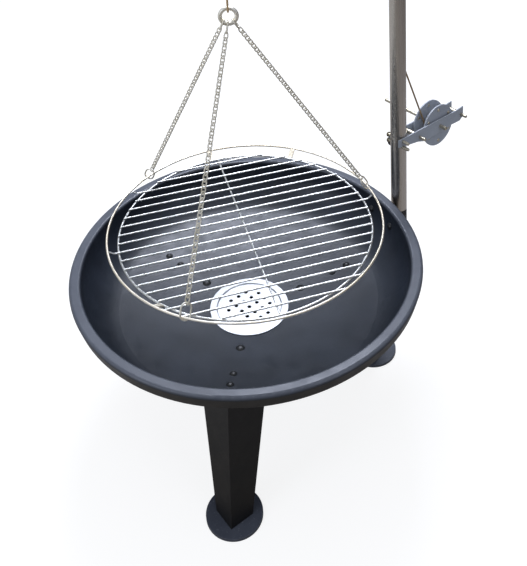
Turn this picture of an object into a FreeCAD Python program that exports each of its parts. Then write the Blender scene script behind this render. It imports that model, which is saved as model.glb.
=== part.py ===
import FreeCAD
import Part
import math
import os

V = FreeCAD.Vector

# Sizes in millimetres, angles in degrees. Heights are worked from the plane of the bowl's rim,
# and the finished grill is set on the ground at the end.

# bowl
RIM_HEIGHT = 357.7          # rim above the ground
BOWL_INNER_R = 326.3        # upright part of the wall, inside
BOWL_DEPTH = 132.4          # rim plane to the lowest point inside
KNUCKLE_R = 90.0            # round between wall and bottom
KNUCKLE_DROP = 8.0          # rim plane to the start of that round
LIP_R = 6.0                 # round from wall to flange
EDGE_R = 6.0                # round from flange to skirt
FLANGE_WIDTH = 11.7         # flat of the rim between those rounds
RIM_R = BOWL_INNER_R + LIP_R + FLANGE_WIDTH + EDGE_R
SKIRT_DROP = 26.7           # rim plane to the skirt's lower edge
SKIRT_LEAN_DEG = 15.5
BOWL_T = 2.5                # sheet
ASH_HOLE_R = 70.0
ASH_COLLAR_LENGTH = 14.0    # turned down round the opening, below the dish

# ash plate
ASH_R = 80.3
ASH_STEP_OUTER_R = 67.0
ASH_STEP_INNER_R = 65.0
ASH_T = 2.0
ASH_STEP = 2.6
ASH_SEAT_GAP = 0.2
ASH_HOLE_PITCH = 19.1
ASH_SMALL_HOLE_R = 4.0
ASH_PATTERN_DEG = 44.8
ASH_PATTERN_REACH = 2       # holes each way from the middle one, corners left out

# ash pan, pushed over the collar from below
PAN_DEPTH = 58.0
PAN_T = 1.2
PAN_FIT = 0.05
PAN_ROUND = 10.0
PAN_BEAD = 2.4
PAN_GRIP_R = 11.0
PAN_GRIP_WAIST_R = 6.0
PAN_GRIP_H = 20.0

# legs
LEG_COUNT = 3
FIRST_LEG_DEG = -90.0
FOOT_REACH = 279.6          # bowl axis to a foot's middle
FOOT_R = 53.0
FOOT_T = 6.0
LEG_TOP_INSET = 136.3       # from the wall in to the leg's middle, at the height below
LEG_TOP_REACH = BOWL_INNER_R - LEG_TOP_INSET
LEG_TOP_DROP = 112.0
LEG_TOP_HALF_DIAGONAL = 63.4
LEG_FOOT_HALF_DIAGONAL = 34.2
LEG_WALL = 3.0
LEG_UPPER_END_DROP = 50.0   # above the dish, trimmed to it
TOP_PLATE_T = 4.0
TOP_PLATE_HALF_DIAGONAL = 72.0
TONGUE_HALF_WIDTH = 20.0
TONGUE_REACH = 95.0
LEG_SCREW_SHARES = (0, 0.45)    # two screws over the leg, of the top plate's half diagonal

# screws
SCREW_R = 4.0
SCREW_HOLE_GAP = 0.3
HEAD_R = 7.5
INNER_HEAD_R = 9.0
HEAD_H = 4.0
HEAD_LIFT = 0.12
BRACKET_HEAD_LIFT = 0.4
NUT_ACROSS_R = 7.5
NUT_H = 5.0
NUT_GAP = 0.1
THREAD_OVER = 1.0

# post bracket and socket
POST_DEG = 35.5
POST_R = 16.85
POST_GAP = 7.55             # rim to post
POST_REACH = RIM_R + POST_GAP + POST_R
POST_WALL = 2.0
BRACKET_SCREW_DEGS = (28.1, 40.5)
BRACKET_SCREW_DROP = 33.0
PAD_MARGIN_DEG = 4.0        # pad beyond the outer screws
PAD_TOP_DROP = 13.0
PAD_FOOT_DROP = 75.0
GUSSET_T = 6.0
GUSSET_TOP_DROP = 37.0
GUSSET_FOOT_DROP = 132.0
GUSSET_FOOT_RUN = 14.0
GUSSET_ROOT_R = 250.0
WELD_GAP = 0.05
SOCKET_TOP_DROP = 31.7
SOCKET_LENGTH = 124.0
SOCKET_FLOOR = 3.0
SPIGOT_WALL = 3.0
SPIGOT_REACH = 90.0         # up into the post and down into the socket
SPIGOT_FIT = 0.07
POST_SEAT_GAP = 0.3

# gallows tube and tip
ARM_HEIGHT = 900.0          # arm's middle line above the rim plane
BEND_R = 110.0
HANG_X = 4.3                # where the rope hangs, from the bowl axis
HANG_Y = 0.9
CABLE_R = 2.0
CABLE_GAP = 0.35
TIP_WHEEL_R = 18.0          # to the middle of the rope
TIP_RIM_R = 22.0
TIP_WHEEL_HALF_WIDTH = 5.5
TIP_CORE_HALF_WIDTH = 2.6
PIN_R = 4.0
RUNNING_FIT = 0.05
FORK_HALF_GAP = 6.5
FORK_T = 4.0
FORK_TONGUE = 28.0
FORK_TONGUE_GAP = 0.2
FORK_LAND = 9.0
TUBE_END_BACK = 46.0        # tube's end behind the hanging rope
PIN_HEAD_R = 7.0
PIN_HEAD_T = 3.0
SLOT_HALF_WIDTH = 3.5
SLOT_HALF_HEIGHT = 12.0
SLOT_DEPTH = 9.0
SLOT_UP = 316.0             # where the slanted rope goes through the post's wall

# winch, in its own directions: out from the post, across the plates, up
WINCH_DEG = 47.3
DRUM_OUT = 111.0
DRUM_UP = 133.0
PLATE_INSIDE = 18.0
PLATE_T = 2.5
PLATE_BACK = 20.0           # front plate's end behind the post's axis
PLATE_REAR_BACK = 6.0
PLATE_NOSE = 188.0
PLATE_REAR_NOSE = 196.0
PLATE_REAR_DROP = 6.5       # rear plate set lower than the front one
PLATE_FOOT_UP = 117.0
PLATE_TOP_UP = 153.5
# outline points: share of the way from the back to the nose, share of the way up
PLATE_SHARES = ((0, 0.54), (0, 1), (0.895, 0.87), (1, 0.92), (1, 0.26), (0.945, 0.04), (0.8, 0.09),
                (0.7, 0), (0.392, 0), (0.281, 0.24))
TIE_R = 3.5
POST_TIE_OUT = -8.0         # the two rods through the post, off its middle
POST_TIE_UP_SHARES = (0.82, 0.45)
FREE_TIE_SHARES = ((0.309, 0.49), (0.962, 0.44))    # two rods beyond it, along and up
TIE_FRONT_END = 37.0
TIE_HEAD_R = 5.5
TIE_HEAD_H = 4.0
TIE_HOLE_GAP = 0.15
SPACER_R = 5.5
SPACER_GAP = 0.1
DISC_R = 47.5
DISC_T = 3.0
DISC_INSIDE = 12.2
DRUM_R = 14.8
AXLE_R = 4.0
PRESS_GAP = 0.03
AXLE_FRONT_END = 38.0
AXLE_REAR_END = 141.7
RIVET_COUNT = 6
RIVET_RING_R = 37.5
RIVET_R = 2.5
RIVET_HEAD_R = 4.0
RIVET_HEAD_H = 2.2
RIVET_TAIL_H = 0.9
RIVET_FIRST_DEG = 30.0
CRANK_BACK = 103.0          # crank arm's middle plane behind the winch's middle
CRANK_T = 5.0
CRANK_HALF_WIDTH = 9.0
CRANK_LENGTH = 95.0
KNOB_R = 17.0
KNOB_LENGTH = 17.0
KNOB_GAP = 0.4
KNOB_PIN_R = 3.0
KNOB_ROUND = 3.0
KNOB_PIN_HEAD_R = 5.5
KNOB_PIN_HEAD_H = 2.5
WIND_PITCH = 4.5
WIND_QUARTERS = 13
WIND_GAP = 0.3
ROUTE_CORNER_R = 80.0

# ring, loop and chains
RING_UP = 525.3             # ring's middle above the rim plane
RING_R = 15.3
RING_WIRE_R = 3.9
RING_FACE_DEG = 11.8        # direction along the ring's face
LOOP_GAP = 0.4
LOOP_STRAIGHT = 8.0
LOOP_HEIGHT = 26.0
LOOP_ROUND = 14.0
STRAND_APART = 2.15
FERRULE_R = 3.25
FERRULE_LENGTH = 18.0
FERRULE_GRIP = 12.0
STRAND_GAP = 0.05
TOP_LINK_RING_DEGS = (-43.0, -8.0, 39.0)
EYE_DEGS = (149.2, 256.6, 29.5)
EYE_YAW_DEGS = (20.0, -45.0, 50.0)
CHAIN_NAMES = ("left", "front", "right")
TOP_LINK_WIRE_R = 1.6
TOP_LINK_INNER_R = 4.75
TOP_LINK_INNER_LENGTH = 20.0
LINK_WIRE_R = 1.3
LINK_INNER_R = 2.0
LINK_INNER_LENGTH = 12.5
LINK_GAP = 0.3
EYE_INNER_R = 8.0
EYE_INNER_LENGTH = 26.0
EYE_WIRE_R = 1.6

# grate
GRATE_UP = 66.9             # lower ring above the rim plane
GRATE_RING_R = 249.5
GRATE_WIRE_R = 2.1
UPPER_RING_R = 270.5
UPPER_RING_RISE = 13.0
BAR_R = 1.8
BAR_PITCH = 25.5
BAR_SHIFT = 0.3
BAR_REACH = 9               # bars each side of the middle one
BAR_DEG = 23.0
BAR_SEAT_GAP = 0.05
BENT_LEFT = (0, -8, -7, 7)  # bars whose ends bend up to the upper ring
BENT_RIGHT = (0, -8, -9)
BENT_BACK = 9.0
BENT_ROUND = 6.0
BENT_END_GAP = 0.3
UPRIGHT_DEGS = (75.5, 116.0, 243.0)
UPRIGHT_HALF_WIDTH = 5.0
UPRIGHT_T = 3.0

TINY = 1e-6
UP = V(0, 0, 1)


# plain helpers
def polar(r, degrees, z=0):
    a = math.radians(degrees)
    return V(r * math.cos(a), r * math.sin(a), z)


def heading(degrees):
    return polar(1, degrees)


def unit(v):
    return v * (1 / v.Length)


def placed(shape, origin, along):
    """Stands a shape made along +Z at an origin so that +Z runs along a direction."""
    s = shape.copy()
    s.Placement = FreeCAD.Placement(origin, FreeCAD.Rotation(UP, along)).multiply(s.Placement)
    return s


def framed(shape, origin, x_dir, z_dir):
    """Stands a shape with its own X and Z axes along two given directions."""
    z = unit(z_dir)
    x = unit(x_dir - z * x_dir.dot(z))
    y = z.cross(x)
    m = FreeCAD.Matrix(x.x, y.x, z.x, origin.x, x.y, y.y, z.y, origin.y,
                       x.z, y.z, z.z, origin.z, 0, 0, 0, 1)
    s = shape.copy()
    s.Placement = FreeCAD.Placement(m).multiply(s.Placement)
    return s


def rod(start, end, r):
    d = end - start
    return Part.makeCylinder(r, d.Length, start, unit(d))


def turned(outline):
    """Turns a closed outline of (radius, height) points or edges round the Z axis."""
    if isinstance(outline[0], Part.Edge):
        wire = Part.Wire(Part.__sortEdges__(outline))
    else:
        pts = [V(r, 0, z) for r, z in outline]
        wire = Part.makePolygon(pts + [pts[0]])
    return Part.Face(wire).revolve(V(0, 0, 0), UP, 360)


def dome(r, h):
    """A flat-bottomed round head: base radius r, height h."""
    big = (r * r + h * h) / (2 * h)
    half = math.asin(r / big) / 2
    mid = V(big * math.sin(half), 0, h - big + big * math.cos(half))
    edges = [Part.Arc(V(0, 0, h), mid, V(r, 0, 0)).toShape(),
             Part.LineSegment(V(r, 0, 0), V(0, 0, 0)).toShape(),
             Part.LineSegment(V(0, 0, 0), V(0, 0, h)).toShape()]
    return turned(edges)


def domed_rod(start, end, r):
    """A round rod whose far end is rounded over."""
    d = unit(end - start)
    cap = r / 2
    return rod(start, end - d * cap, r).fuse(placed(dome(r, cap), end - d * cap, d)).removeSplitter()


def corner_arc(before, corner, after, r):
    """The round that joins two straight runs at a corner: first point, middle, last point."""
    a = unit(before - corner)
    b = unit(after - corner)
    half = a.getAngle(b) / 2
    back = r / math.tan(half)
    centre = corner + unit(a + b) * (r / math.sin(half))
    return corner + a * back, centre + unit(corner - centre) * r, corner + b * back


def route(points, rounds):
    """A wire of straight runs through the points, with a round of the given radius at each inner one."""
    edges = []
    at = points[0]
    for i, r in enumerate(rounds, 1):
        first, mid, last = corner_arc(points[i - 1], points[i], points[i + 1], r)
        if (first - at).Length > TINY:
            edges.append(Part.LineSegment(at, first).toShape())
        else:
            first = at
        edges.append(Part.Arc(first, mid, last).toShape())
        at = last
    if (points[-1] - at).Length > 10 * TINY:
        edges.append(Part.LineSegment(at, points[-1]).toShape())
    return Part.Wire(edges)


def piped(wire, r):
    """A round solid of radius r along a wire."""
    start = wire.Edges[0]
    p = start.valueAt(start.FirstParameter)
    t = start.tangentAt(start.FirstParameter)
    ring = Part.Wire([Part.makeCircle(r, p, t)])
    return wire.makePipeShell([ring], True, False)


def shell_outline(start, start_deg, steps, thickness):
    """Closed outline of a sheet in the radius-height plane. Each step is ("line", length) or
    ("arc", radius, degrees), positive to the left; the sheet lies to the right of the track."""
    def side(q, deg):
        a = math.radians(deg)
        return V(q.x + thickness * math.sin(a), 0, q.z - thickness * math.cos(a))
    p = V(start[0], 0, start[1])
    deg = start_deg
    near, far = [], []
    first_far = side(p, deg)
    for step in steps:
        a = math.radians(deg)
        if step[0] == "line":
            q = V(p.x + step[1] * math.cos(a), 0, p.z + step[1] * math.sin(a))
            near.append(Part.LineSegment(p, q).toShape())
            far.append(Part.LineSegment(side(p, deg), side(q, deg)).toShape())
        else:
            r, sweep = step[1], step[2]
            s = math.copysign(1, sweep)
            c = V(p.x - s * r * math.sin(a), 0, p.z + s * r * math.cos(a))

            def on(turn, radius):
                b = math.radians(turn)
                d = p - c
                return c + V(d.x * math.cos(b) - d.z * math.sin(b), 0,
                             d.x * math.sin(b) + d.z * math.cos(b)) * (radius / r)
            q = on(sweep, r)
            near.append(Part.Arc(p, on(sweep / 2, r), q).toShape())
            o = r + s * thickness
            far.append(Part.Arc(on(0, o), on(sweep / 2, o), on(sweep, o)).toShape())
            deg += sweep
        p = q
    ends = [Part.LineSegment(V(start[0], 0, start[1]), first_far).toShape(),
            Part.LineSegment(p, side(p, deg)).toShape()]
    return near + far + ends, p


# dish geometry shared by bowl, ash plate, leg tops and bracket
KNUCKLE_MID_R = BOWL_INNER_R - KNUCKLE_R
DISH_DEPTH = BOWL_DEPTH - KNUCKLE_DROP
CROWN_R = (KNUCKLE_MID_R ** 2 + DISH_DEPTH ** 2 - KNUCKLE_R ** 2) / (2 * (DISH_DEPTH - KNUCKLE_R))
CROWN_UP = CROWN_R - BOWL_DEPTH
CROWN_ANGLE = math.asin(KNUCKLE_MID_R / (CROWN_R - KNUCKLE_R))


def dish_height(r):
    return CROWN_UP - math.sqrt(CROWN_R ** 2 - r ** 2)


def dish_solid(grow):
    """Everything inside the dish's inner surface, grown outwards."""
    crown = CROWN_R + grow
    knuckle = KNUCKLE_R + grow

    def on_crown(a):
        return V(crown * math.sin(a), 0, CROWN_UP - crown * math.cos(a))

    def on_knuckle(a):
        return V(KNUCKLE_MID_R + knuckle * math.sin(a), 0, -KNUCKLE_DROP - knuckle * math.cos(a))
    right = math.pi / 2
    join = on_crown(CROWN_ANGLE)
    wall = V(BOWL_INNER_R + grow, 0, -KNUCKLE_DROP)
    top = V(BOWL_INNER_R + grow, 0, KNUCKLE_DROP)
    edges = [Part.Arc(on_crown(0), on_crown(CROWN_ANGLE / 2), join).toShape(),
             Part.Arc(join, on_knuckle((CROWN_ANGLE + right) / 2), wall).toShape(),
             Part.LineSegment(wall, top).toShape(),
             Part.LineSegment(top, V(0, 0, KNUCKLE_DROP)).toShape(),
             Part.LineSegment(V(0, 0, KNUCKLE_DROP), on_crown(0)).toShape()]
    return turned(edges)


def dish_point(r, degrees):
    """Point on the bowl's inner surface and the direction square to it, into the bowl."""
    p = polar(r, degrees, dish_height(r))
    return p, unit(V(0, 0, CROWN_UP) - p)


def wall_point(drop, degrees):
    """The same on the round wall, a given drop below the rim plane."""
    a = math.asin((drop - KNUCKLE_DROP) / KNUCKLE_R)
    p = polar(KNUCKLE_MID_R + KNUCKLE_R * math.cos(a), degrees, -drop)
    return p, unit(polar(-math.cos(a), degrees, math.sin(a)))


def leg_screw_reaches():
    """How far out the three screws of a leg stand, the innermost one first."""
    outer = [LEG_TOP_REACH + k * TOP_PLATE_HALF_DIAGONAL for k in LEG_SCREW_SHARES]
    return [TONGUE_REACH + TONGUE_HALF_WIDTH] + outer


def leg_deg(i):
    return FIRST_LEG_DEG + i * 360 / LEG_COUNT


def screw(point, inward, head_r, grip, lift):
    """A dome-headed screw from inside the bowl and its nut outside."""
    out = inward * -1
    head_at = point + inward * lift
    length = lift + grip + NUT_GAP + NUT_H + THREAD_OVER
    body = placed(dome(head_r, HEAD_H), head_at, inward).fuse(rod(head_at, head_at + out * length, SCREW_R))
    nut_at = point + out * (grip + NUT_GAP)
    flat = [polar(NUT_ACROSS_R, k * 60) for k in range(6)]
    hexagon = Part.Face(Part.makePolygon(flat + [flat[0]])).extrude(V(0, 0, NUT_H))
    nut = placed(hexagon, nut_at, out).cut(rod(nut_at, nut_at + out * NUT_H, SCREW_R + PRESS_GAP))
    return [body.removeSplitter(), nut]


def screw_hole(point, inward, reach):
    return rod(point + inward * reach, point - inward * reach, SCREW_R + SCREW_HOLE_GAP)


# bowl and stand
def make_bowl():
    start_angle = math.asin(ASH_HOLE_R / CROWN_R)
    lean = math.radians(SKIRT_LEAN_DEG)
    skirt = (SKIRT_DROP - EDGE_R - EDGE_R * math.sin(lean)) / math.cos(lean)
    steps = [("arc", CROWN_R, math.degrees(CROWN_ANGLE - start_angle)),
             ("arc", KNUCKLE_R, 90 - math.degrees(CROWN_ANGLE)),
             ("line", KNUCKLE_DROP - LIP_R), ("arc", LIP_R, -90), ("line", FLANGE_WIDTH),
             ("arc", EDGE_R, -90 - SKIRT_LEAN_DEG), ("line", skirt)]
    start = (ASH_HOLE_R, dish_height(ASH_HOLE_R))
    edges, last = shell_outline(start, math.degrees(start_angle), steps, BOWL_T)
    bowl = turned(edges)
    collar_r = ASH_HOLE_R + BOWL_T
    collar_top = dish_height(ASH_HOLE_R) - BOWL_T / 2
    collar_foot = -BOWL_DEPTH - BOWL_T - ASH_COLLAR_LENGTH
    bowl = bowl.fuse(turned([(ASH_HOLE_R, collar_top), (collar_r, collar_top), (collar_r, collar_foot),
                             (ASH_HOLE_R, collar_foot)])).removeSplitter()
    print("skirt edge radius %.1f drop %.1f" % (last.x, -last.z))
    holes = [screw_hole(*dish_point(r, leg_deg(i)), 2 * HEAD_R)
             for i in range(LEG_COUNT) for r in leg_screw_reaches()]
    holes += [screw_hole(*wall_point(BRACKET_SCREW_DROP, d), HEAD_R) for d in BRACKET_SCREW_DEGS]
    return bowl.cut(Part.makeCompound(holes))


def make_ash_plate():
    under = dish_height(ASH_R) + ASH_SEAT_GAP
    low = under - ASH_STEP
    plate = turned([(0, low), (ASH_STEP_INNER_R, low), (ASH_STEP_OUTER_R, under), (ASH_R, under),
                    (ASH_R, under + ASH_T), (ASH_STEP_OUTER_R, under + ASH_T),
                    (ASH_STEP_INNER_R, low + ASH_T), (0, low + ASH_T)])
    n = ASH_PATTERN_REACH
    a = heading(ASH_PATTERN_DEG) * ASH_HOLE_PITCH
    b = heading(ASH_PATTERN_DEG - 90) * ASH_HOLE_PITCH
    holes = []
    for i in range(-n, n + 1):
        for j in range(-n, n + 1):
            if abs(i) == n and abs(j) == n:
                continue
            at = a * i + b * j + V(0, 0, low - ASH_T)
            holes.append(Part.makeCylinder(ASH_SMALL_HOLE_R, 3 * ASH_T, at, UP))
    return plate.cut(Part.makeCompound(holes))


def make_ash_pan():
    """Round pan with a beaded rim and a grip under its bottom."""
    inside = ASH_HOLE_R + BOWL_T + PAN_FIT
    outside = inside + PAN_T
    top = -BOWL_DEPTH - BOWL_T
    low = top - PAN_DEPTH
    c = PAN_ROUND
    bead = outside + PAN_BEAD
    return turned([(0, low + PAN_T), (inside - c, low + PAN_T), (inside, low + c + PAN_T), (inside, top),
                   (bead, top), (bead, top - PAN_BEAD), (outside, top - 2 * PAN_BEAD), (outside, low + c),
                   (outside - c, low), (PAN_GRIP_WAIST_R, low), (PAN_GRIP_WAIST_R, low - PAN_GRIP_H / 2),
                   (PAN_GRIP_R, low - PAN_GRIP_H * 3 / 4),
                   (PAN_GRIP_R - PAN_T, low - PAN_GRIP_H), (0, low - PAN_GRIP_H)])


def square_ring(reach, half, z):
    """Level square with one corner pointing straight out from the bowl's axis."""
    pts = [V(reach + half, 0, z), V(reach, half, z), V(reach - half, 0, z), V(reach, -half, z)]
    return Part.makePolygon(pts + [pts[0]])


def leg_box(shrink):
    """Tapered, splayed square bar from foot plate to above the dish, its walls moved in."""
    foot_z = FOOT_T - RIM_HEIGHT
    share = (RIM_HEIGHT - FOOT_T - LEG_UPPER_END_DROP) / (RIM_HEIGHT - FOOT_T - LEG_TOP_DROP)
    reach = FOOT_REACH + (LEG_TOP_REACH - FOOT_REACH) * share
    half = LEG_FOOT_HALF_DIAGONAL + (LEG_TOP_HALF_DIAGONAL - LEG_FOOT_HALF_DIAGONAL) * share
    return Part.makeLoft([square_ring(FOOT_REACH, LEG_FOOT_HALF_DIAGONAL - shrink, foot_z),
                          square_ring(reach, half - shrink, -LEG_UPPER_END_DROP)], True, True)


def make_legs():
    plate_in = dish_solid(BOWL_T + WELD_GAP)
    plate_out = dish_solid(BOWL_T + TOP_PLATE_T)
    trim = dish_solid(BOWL_T + TOP_PLATE_T / 2)
    box = leg_box(0).cut(leg_box(LEG_WALL * math.sqrt(2))).cut(trim)
    low = -BOWL_DEPTH - 2 * TOP_PLATE_T
    square = Part.Face(square_ring(LEG_TOP_REACH, TOP_PLATE_HALF_DIAGONAL, low)).extrude(V(0, 0, BOWL_DEPTH))
    tongue = Part.makeBox(LEG_TOP_REACH - TONGUE_REACH, 2 * TONGUE_HALF_WIDTH, BOWL_DEPTH,
                          V(TONGUE_REACH, -TONGUE_HALF_WIDTH, low))
    plate = plate_out.cut(plate_in).common(square.fuse(tongue))
    leg = box.fuse(plate)
    foot = Part.makeCylinder(FOOT_R, FOOT_T, V(FOOT_REACH, 0, -RIM_HEIGHT), UP)
    legs, feet, screws = [], [], []
    for i in range(LEG_COUNT):
        d = leg_deg(i)
        one = leg.copy()
        one.rotate(V(0, 0, 0), UP, d)
        holes = [screw_hole(*dish_point(r, d), 2 * HEAD_R) for r in leg_screw_reaches()]
        legs.append(one.cut(Part.makeCompound(holes)).removeSplitter())
        base = foot.copy()
        base.rotate(V(0, 0, 0), UP, d)
        feet.append(base)
        group = []
        for k, r in enumerate(leg_screw_reaches()):
            head = HEAD_R if k else INNER_HEAD_R
            p, inward = dish_point(r, d)
            group += screw(p, inward, head, BOWL_T + TOP_PLATE_T, HEAD_LIFT)
        screws.append(Part.makeCompound(group))
    return legs, feet, screws


POST = polar(POST_REACH, POST_DEG)


def make_bracket():
    pad = dish_solid(BOWL_T + TOP_PLATE_T).cut(dish_solid(BOWL_T + WELD_GAP))
    wedge_r = BOWL_INNER_R + 2 * KNUCKLE_R
    start = min(BRACKET_SCREW_DEGS) - PAD_MARGIN_DEG
    end = max(BRACKET_SCREW_DEGS) + PAD_MARGIN_DEG
    wedge = Part.makeCylinder(wedge_r, PAD_FOOT_DROP - PAD_TOP_DROP, V(0, 0, -PAD_FOOT_DROP), UP, end - start)
    wedge.rotate(V(0, 0, 0), UP, start)
    pad = pad.common(wedge)
    face_r = POST_REACH - POST_R - WELD_GAP
    line = [V(GUSSET_ROOT_R, 0, -GUSSET_TOP_DROP), V(face_r, 0, -GUSSET_TOP_DROP),
            V(face_r, 0, -GUSSET_FOOT_DROP), V(face_r - GUSSET_FOOT_RUN, 0, -GUSSET_FOOT_DROP),
            V(GUSSET_ROOT_R, 0, -PAD_FOOT_DROP)]
    gusset = Part.Face(Part.makePolygon(line + [line[0]])).extrude(V(0, GUSSET_T, 0))
    gusset.translate(V(0, -GUSSET_T / 2, 0))
    gusset.rotate(V(0, 0, 0), UP, POST_DEG)
    gusset = gusset.cut(dish_solid(BOWL_T + TOP_PLATE_T / 2))
    holes = [screw_hole(*wall_point(BRACKET_SCREW_DROP, d), 2 * HEAD_R) for d in BRACKET_SCREW_DEGS]
    bracket = pad.fuse(gusset).cut(Part.makeCompound(holes)).removeSplitter()
    group = []
    for d in BRACKET_SCREW_DEGS:
        p, inward = wall_point(BRACKET_SCREW_DROP, d)
        group += screw(p, inward, HEAD_R, BOWL_T + TOP_PLATE_T, BRACKET_HEAD_LIFT)
    return bracket, Part.makeCompound(group)


def make_socket():
    top = POST - V(0, 0, SOCKET_TOP_DROP)
    foot = top - V(0, 0, SOCKET_LENGTH)
    tube = rod(foot, top, POST_R).cut(rod(foot + V(0, 0, SOCKET_FLOOR), top, POST_R - POST_WALL))
    r = POST_R - POST_WALL - SPIGOT_FIT
    low = top - V(0, 0, SPIGOT_REACH)
    high = top + V(0, 0, SPIGOT_REACH)
    spigot = rod(low, high, r).cut(rod(low, high, r - SPIGOT_WALL))
    return tube, spigot


# gallows
ARM_VECTOR = V(HANG_X, HANG_Y, 0) - POST
ARM_REACH = ARM_VECTOR.Length
ARM = unit(ARM_VECTOR)
ARM_SIDE = UP.cross(ARM)
HUG = POST_R - POST_WALL - CABLE_R - CABLE_GAP      # rope's offset inside the tube, to the bend's inner side
WHEEL_UP = ARM_HEIGHT - HUG - TIP_WHEEL_R
OUT = heading(WINCH_DEG)
ACROSS = heading(WINCH_DEG - 90)                    # towards the front plate


def plate_place(along_share, up_share, nose=PLATE_NOSE, drop=0):
    """A place on the winch plates from its shares of the way out and of the way up."""
    return (PLATE_BACK + nose) * along_share - PLATE_BACK, \
        PLATE_FOOT_UP - drop + (PLATE_TOP_UP - PLATE_FOOT_UP) * up_share


POST_TIE_UPS = [plate_place(0, k)[1] for k in POST_TIE_UP_SHARES]
TIE_PLACES = [(POST_TIE_OUT, up) for up in POST_TIE_UPS] + [plate_place(*k) for k in FREE_TIE_SHARES]


def winch(out, across, up):
    return POST + OUT * out + ACROSS * across + UP * up


def arm(along, up, side=0):
    return POST + ARM * along + UP * up + ARM_SIDE * side


def rope_leaving():
    """Where the rope leaves the drum for the corner inside the post, and that corner."""
    corner_side = ARM * HUG
    e1, w1 = corner_side.dot(OUT), corner_side.dot(ACROSS)
    r = DRUM_R + CABLE_R + WIND_GAP
    slope_up = SLOT_UP - DRUM_UP
    rise = slope_up * (DRUM_OUT - r - e1) / (DRUM_OUT - r - POST_R)
    corner_up = DRUM_UP + rise
    gap = math.hypot(e1 - DRUM_OUT, rise)
    bearing = math.atan2(rise, e1 - DRUM_OUT)
    angle = bearing + math.acos(r / gap)
    return angle, r, V(e1, w1, corner_up)


LEAVE_ANGLE, WIND_R, CORNER = rope_leaving()
WIND_SPAN = WIND_PITCH * WIND_QUARTERS / 4


def make_gallows():
    low = POST + UP * (POST_SEAT_GAP - SOCKET_TOP_DROP)
    pts = [low, arm(0, ARM_HEIGHT), arm(ARM_REACH - TUBE_END_BACK, ARM_HEIGHT)]
    wire = route(pts, [BEND_R])
    tube = piped(wire, POST_R).cut(piped(wire, POST_R - POST_WALL))
    slot = Part.makeBox(SLOT_DEPTH, 2 * SLOT_HALF_WIDTH, 2 * (SLOT_HALF_HEIGHT - SLOT_HALF_WIDTH))
    slot.translate(V(0, -SLOT_HALF_WIDTH, -SLOT_HALF_HEIGHT + SLOT_HALF_WIDTH))
    for s in (-1, 1):
        slot = slot.fuse(Part.makeCylinder(SLOT_HALF_WIDTH, SLOT_DEPTH,
                                           V(0, 0, s * (SLOT_HALF_HEIGHT - SLOT_HALF_WIDTH)), V(1, 0, 0)))
    leave = slot_crossing()
    slot = framed(slot, POST + OUT * (POST_R - POST_WALL * 2) + ACROSS * leave.y + UP * leave.z, OUT, UP)
    tube = tube.cut(slot)
    for up in POST_TIE_UPS:
        a, b = winch(POST_TIE_OUT, -PLATE_INSIDE, up), winch(POST_TIE_OUT, PLATE_INSIDE, up)
        tube = tube.cut(rod(a, b, TIE_R + TIE_HOLE_GAP))
    return tube


def drum_point(angle, across):
    """A point on the rope's middle line round the drum, in winch directions."""
    return V(DRUM_OUT + WIND_R * math.cos(angle), across, DRUM_UP + WIND_R * math.sin(angle))


def slot_crossing():
    """Where the rope's slanted run goes through the post's wall, in winch directions."""
    a = drum_point(LEAVE_ANGLE, -WIND_SPAN / 2)
    b = V(CORNER.x, CORNER.y, CORNER.z)
    share = (a.x - (POST_R - POST_WALL / 2)) / (a.x - b.x)
    return a + (b - a) * share


def make_fork():
    """Two cheeks let into the arm's end, and the pin that carries the tip wheel."""
    back = ARM_REACH - TUBE_END_BACK
    centre = ARM_REACH - TIP_WHEEL_R
    nose = centre + TIP_RIM_R + FORK_LAND / 2
    low = WHEEL_UP - FORK_LAND
    half = math.sqrt((POST_R - POST_WALL - FORK_TONGUE_GAP) ** 2 - (FORK_HALF_GAP + FORK_T) ** 2)
    line = [(back - FORK_TONGUE, ARM_HEIGHT - half), (back - FORK_TONGUE, ARM_HEIGHT + half),
            (back + FORK_LAND, ARM_HEIGHT + half), (nose, WHEEL_UP + FORK_LAND), (nose, low),
            (centre - FORK_LAND, low), (back + WELD_GAP, ARM_HEIGHT - POST_R),
            (back + WELD_GAP, ARM_HEIGHT - half)]
    cheeks = []
    for s in (-1, 1):
        side = s * FORK_HALF_GAP if s > 0 else s * (FORK_HALF_GAP + FORK_T)
        pts = [arm(a, u, side) for a, u in line]
        plate = Part.Face(Part.makePolygon(pts + [pts[0]])).extrude(ARM_SIDE * FORK_T)
        a, b = arm(centre, WHEEL_UP, side - FORK_T), arm(centre, WHEEL_UP, side + 2 * FORK_T)
        cheeks.append(plate.cut(rod(a, b, PIN_R + PRESS_GAP)))
    outer = FORK_HALF_GAP + FORK_T
    a = arm(centre, WHEEL_UP, -outer - PIN_HEAD_T)
    pin = rod(a, arm(centre, WHEEL_UP, outer + PIN_HEAD_T), PIN_R)
    for s in (-1, 1):
        face = arm(centre, WHEEL_UP, s * (outer + WELD_GAP))
        pin = pin.fuse(placed(dome(PIN_HEAD_R, PIN_HEAD_T), face, ARM_SIDE * s))
    return Part.makeCompound(cheeks), pin.removeSplitter()


def make_tip_wheel():
    """Grooved wheel under the rope; its bore runs on the pin."""
    groove = TIP_WHEEL_R - CABLE_R - CABLE_GAP
    bore = PIN_R + RUNNING_FIT
    w, c = TIP_WHEEL_HALF_WIDTH, TIP_CORE_HALF_WIDTH
    wheel = turned([(bore, -w), (TIP_RIM_R, -w), (TIP_RIM_R, -w + w / 4), (groove, -c), (groove, c),
                    (TIP_RIM_R, w - w / 4), (TIP_RIM_R, w), (bore, w)])
    return placed(wheel, arm(ARM_REACH - TIP_WHEEL_R, WHEEL_UP), ARM_SIDE)


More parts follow.
